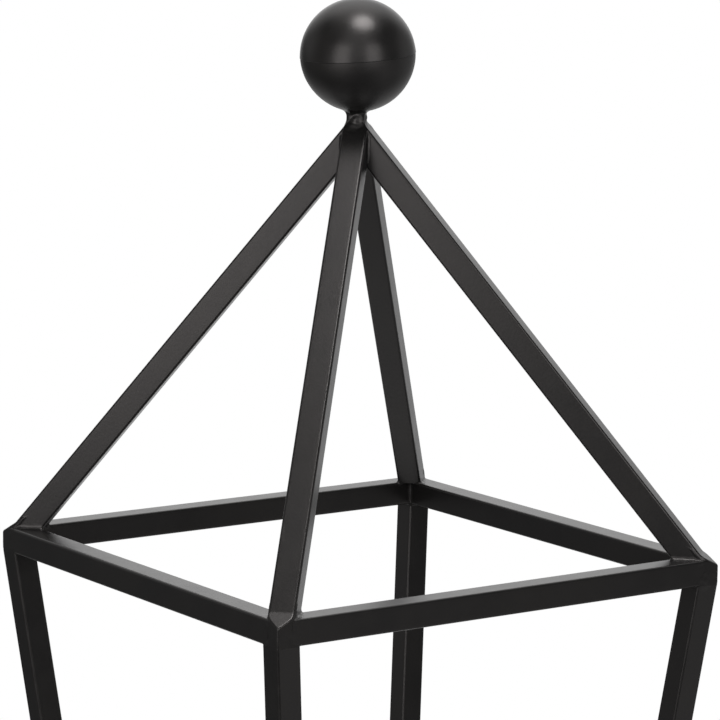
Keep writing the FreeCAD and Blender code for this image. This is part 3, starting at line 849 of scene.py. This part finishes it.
def neck_field(points):
    x, y, z = xyz(points)
    rafters = np.minimum.reduce([mitred_rafter(points, quarter) for quarter in range(4)])
    ball = distance_to(points, (0.0, 0.0, BALL_Z + SHORT)) - R_OUT
    # rough stem, slightly off the centre axis
    waver = 0.20 * ripple(points, seed=72, shortest=5.0, longest=9.0, count=8)
    stem = np.maximum(np.sqrt((x + 0.55) ** 2 + (y - 0.37) ** 2) - 4.25 - waver,
                      slab(z - (RING_TOP + 213.5), half=6.0))
    # weld beads run a little way down the valleys between the rafters
    valley = np.minimum(np.abs(x), np.abs(y))
    far = np.maximum(np.abs(x), np.abs(y))
    bead = np.sqrt(valley ** 2 + (far - 8.1) ** 2) - 1.45
    bead = soft_max(bead, slab(z - (RING_TOP + 198.0), half=8.0), blend=2.0)
    field = soft_min(rafters, bead, blend=1.3)
    field = soft_min(field, stem, blend=3.6)
    field = soft_min(field, ball, blend=2.8)
    seams = near(3.6, z - (RING_TOP + 212.0)) + 0.5 * near(1.0, bead)
    waves = ripple(points, seed=71, shortest=2.4, longest=6.5)
    field = field + waves * (0.012 + 0.10 * seams)
    for degrees, above, out, radius in NECK_RUNS:
        a = math.radians(degrees)
        centre = (out * math.cos(a), out * math.sin(a), RING_TOP + above)
        run = distance_to(points, centre, z_scale=1.35) - radius
        field = soft_min(field, run, blend=1.5)
    radius = distance_to(points, NECK_CENTRE, z_scale=0.62)
    return sink(field, radius, proud=0.012, start=9.6, rate=0.02, limit=13.6)


weld_piece("finial_neck_welds", neck_field, NECK_CENTRE - NECK_REACH, NECK_CENTRE + NECK_REACH,
           step=0.36, nodes=["finial_neck_weld", "apex_seam_welds"])

# the stub keeps its own shape, in bare steel
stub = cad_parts["finial_stub"]
stub.data.materials.clear()
stub.data.materials.append(BARE)

# ----------------------------------------------------------------------------------------------
# world: white to the camera, a set of broad soft patches as light
# ----------------------------------------------------------------------------------------------
scene = bpy.context.scene
scene.view_settings.view_transform = "Standard"
scene.view_settings.look = "None"
scene.view_settings.exposure = 0.0
scene.view_settings.gamma = 1.0

# name, direction (right, up, toward the camera), degrees off it where full and faded, brightness
PATCHES = [
    ("behind", (0.0, 0.08, -1.0), 8, 38, 0.66),
    ("behind_left", (-0.80, 0.05, -0.60), 15, 50, 0.075),
    ("behind_right", (0.80, 0.05, -0.60), 15, 50, 0.34),
    ("behind_above", (0.0, 0.80, -0.60), 15, 53, 0.88),
    ("behind_below", (0.0, -0.75, -0.66), 15, 55, 0.72),
    ("left", (-1.0, 0.0, 0.15), 12, 45, 0.19),
    ("right", (1.0, 0.0, 0.15), 12, 45, 0.165),
    ("above", (0.0, 1.0, -0.1), 12, 44, 0.58),
    ("below", (0.0, -1.0, 0.0), 15, 50, 0.03),
    ("right_low", (0.78, -0.66, 0.26), 8, 28, 0.45),
    ("left_high", (-0.84, 0.36, -0.40), 8, 28, 0.20),
    ("left_low", (-0.62, -0.44, 0.65), 10, 34, 0.34),
    ("above_left", (-0.42, 0.80, 0.43), 8, 30, 0.22),
    ("front_below", (0.0, -0.80, 0.60), 12, 40, 0.10),
    ("front", (0.0, 0.30, 0.95), 12, 45, 0.72),
]


def direction(way):
    """Unit vector from right, up and toward-the-camera parts."""
    return (RIGHT * way[0] - DOWN * way[1] - FORWARD * way[2]).normalized()


def studio_world():
    world = bpy.data.worlds.new("studio")
    scene.world = world
    tree = Tree(world)
    out = tree.new("ShaderNodeOutputWorld")
    background = tree.new("ShaderNodeBackground")
    tree.feed(out.inputs["Surface"], background.outputs[0])
    incoming = tree.new("ShaderNodeNewGeometry").outputs["Incoming"]
    total = None
    for name, way, full, faded, brightness in PATCHES:
        dot = tree.new("ShaderNodeVectorMath", operation="DOT_PRODUCT")
        tree.feed(dot.inputs[0], incoming)
        dot.inputs[1].default_value = tuple(-direction(way))
        patch = tree.ramp(dot.outputs["Value"], start=math.cos(math.radians(faded)),
                          end=math.cos(math.radians(full)), high=brightness,
                          interpolation="SMOOTHERSTEP")
        patch.node.label = name
        total = patch if total is None else tree.math("ADD", total, patch)
    path = tree.new("ShaderNodeLightPath")
    pick = tree.new("ShaderNodeMix", data_type="FLOAT")
    tree.feed_all(pick, {"Factor": path.outputs["Is Camera Ray"], "A": total, "B": 1.0})
    tree.feed_all(background, {"Strength": pick.outputs["Result"], "Color": (1.0, 1.0, 1.0)})


studio_world()

# ----------------------------------------------------------------------------------------------
# floor: a wide disc, seen only by the camera, its pale colour running out to white
# ----------------------------------------------------------------------------------------------
FLOOR_SEGMENTS = 96
FLOOR_RADII = (0.15, 0.3, 0.5, 0.8, 1.2, 1.8, 2.6, 4.0)
FLOOR_GAP = 0.0003                   # below the lowest point of the frame


def floor_mesh():
    n = FLOOR_SEGMENTS
    verts = [(0.0, 0.0, 0.0)]
    for radius in FLOOR_RADII:
        verts += [(radius * math.cos(2 * math.pi * k / n), radius * math.sin(2 * math.pi * k / n),
                   0.0) for k in range(n)]
    faces = [(0, 1 + k, 1 + (k + 1) % n) for k in range(n)]
    for ring in range(len(FLOOR_RADII) - 1):
        a = 1 + ring * n
        b = a + n
        faces += [(a + k, b + k, b + (k + 1) % n, a + (k + 1) % n) for k in range(n)]
    mesh = bpy.data.meshes.new("floor")
    mesh.from_pydata(verts, [], faces)
    return mesh


def floor_pale():
    m = Material("floor_pale")
    length = m.new("ShaderNodeVectorMath", operation="LENGTH")
    m.feed(length.inputs[0], m.coord)
    fade = m.ramp(length.outputs["Value"], start=0.45, end=1.55)
    cloth = m.noise(scale=5.0, detail=3.0)
    colour = m.mix(cloth, (0.80, 0.80, 0.795), (0.84, 0.84, 0.835))
    weave = m.noise(scale=240.0, detail=3.0, roughness=0.6)
    m.feed_all(m.bsdf, {"Base Color": colour, "Roughness": 0.9,
                        "Normal": m.bump(weave, strength=0.05, distance=0.0003)})
    glow = m.new("ShaderNodeEmission")
    m.feed(glow.inputs["Color"], (1.0, 1.0, 1.0))
    blend = m.new("ShaderNodeMixShader")
    m.feed_all(blend, {"Fac": fade, 1: m.bsdf.outputs[0], 2: glow.outputs[0]})
    rays = m.new("ShaderNodeLightPath")
    clear = m.new("ShaderNodeBsdfTransparent")
    seen = m.new("ShaderNodeMixShader")
    m.feed_all(seen, {"Fac": rays.outputs["Is Camera Ray"], 1: clear.outputs[0],
                      2: blend.outputs[0]})
    m.feed(m.out.inputs["Surface"], seen.outputs[0])
    return m.material


floor = bpy.data.objects.new("floor", floor_mesh())
scene.collection.objects.link(floor)
floor.location.z = float(CAD_LO[2]) - FLOOR_GAP
floor.data.materials.append(floor_pale())


# ----------------------------------------------------------------------------------------------
# lights and camera
# ----------------------------------------------------------------------------------------------
def soft_box(name, way, distance, width, height, radiance, shape="RECTANGLE"):
    """An area light aimed at the ball from a direction and distance."""
    aim = Vector((0, 0, BALL_Z * MM))
    light = bpy.data.lights.new(name, "AREA")
    light.shape = shape
    light.size, light.size_y = width, height
    area = width * height * (math.pi / 4 if shape == "ELLIPSE" else 1.0)
    light.energy = radiance * math.pi * area
    ob = bpy.data.objects.new(name, light)
    scene.collection.objects.link(ob)
    ob.location = aim + direction(way) * distance
    ob.rotation_mode = "QUATERNION"
    ob.rotation_quaternion = (aim - ob.location).to_track_quat("-Z", "Y")
    ob.visible_camera = False


soft_box("top_box", way=(0.140, 0.893, 0.412), distance=0.9, width=0.52, height=0.46,
         radiance=10.4, shape="ELLIPSE")
soft_box("panel_left", way=(-0.53, -0.08, 0.845), distance=1.15, width=0.60, height=0.88,
         radiance=2.2)
soft_box("panel_right", way=(0.52, -0.06, 0.85), distance=1.15, width=0.56, height=0.84,
         radiance=2.2)

CAMERA_PLACE = (-0.98464531621, -1.4466017516, 0.36688550489 + RING_TOP * MM)

lens = bpy.data.cameras.new("camera")
lens.lens = 177.08877715
lens.sensor_width = 36.0
lens.sensor_fit = "HORIZONTAL"
lens.clip_start, lens.clip_end = 0.05, 50.0
camera = bpy.data.objects.new("camera", lens)
scene.collection.objects.link(camera)
camera.matrix_world = Matrix([(RIGHT[i], -DOWN[i], -FORWARD[i], CAMERA_PLACE[i])
                              for i in range(3)] + [(0, 0, 0, 1)])
scene.camera = camera
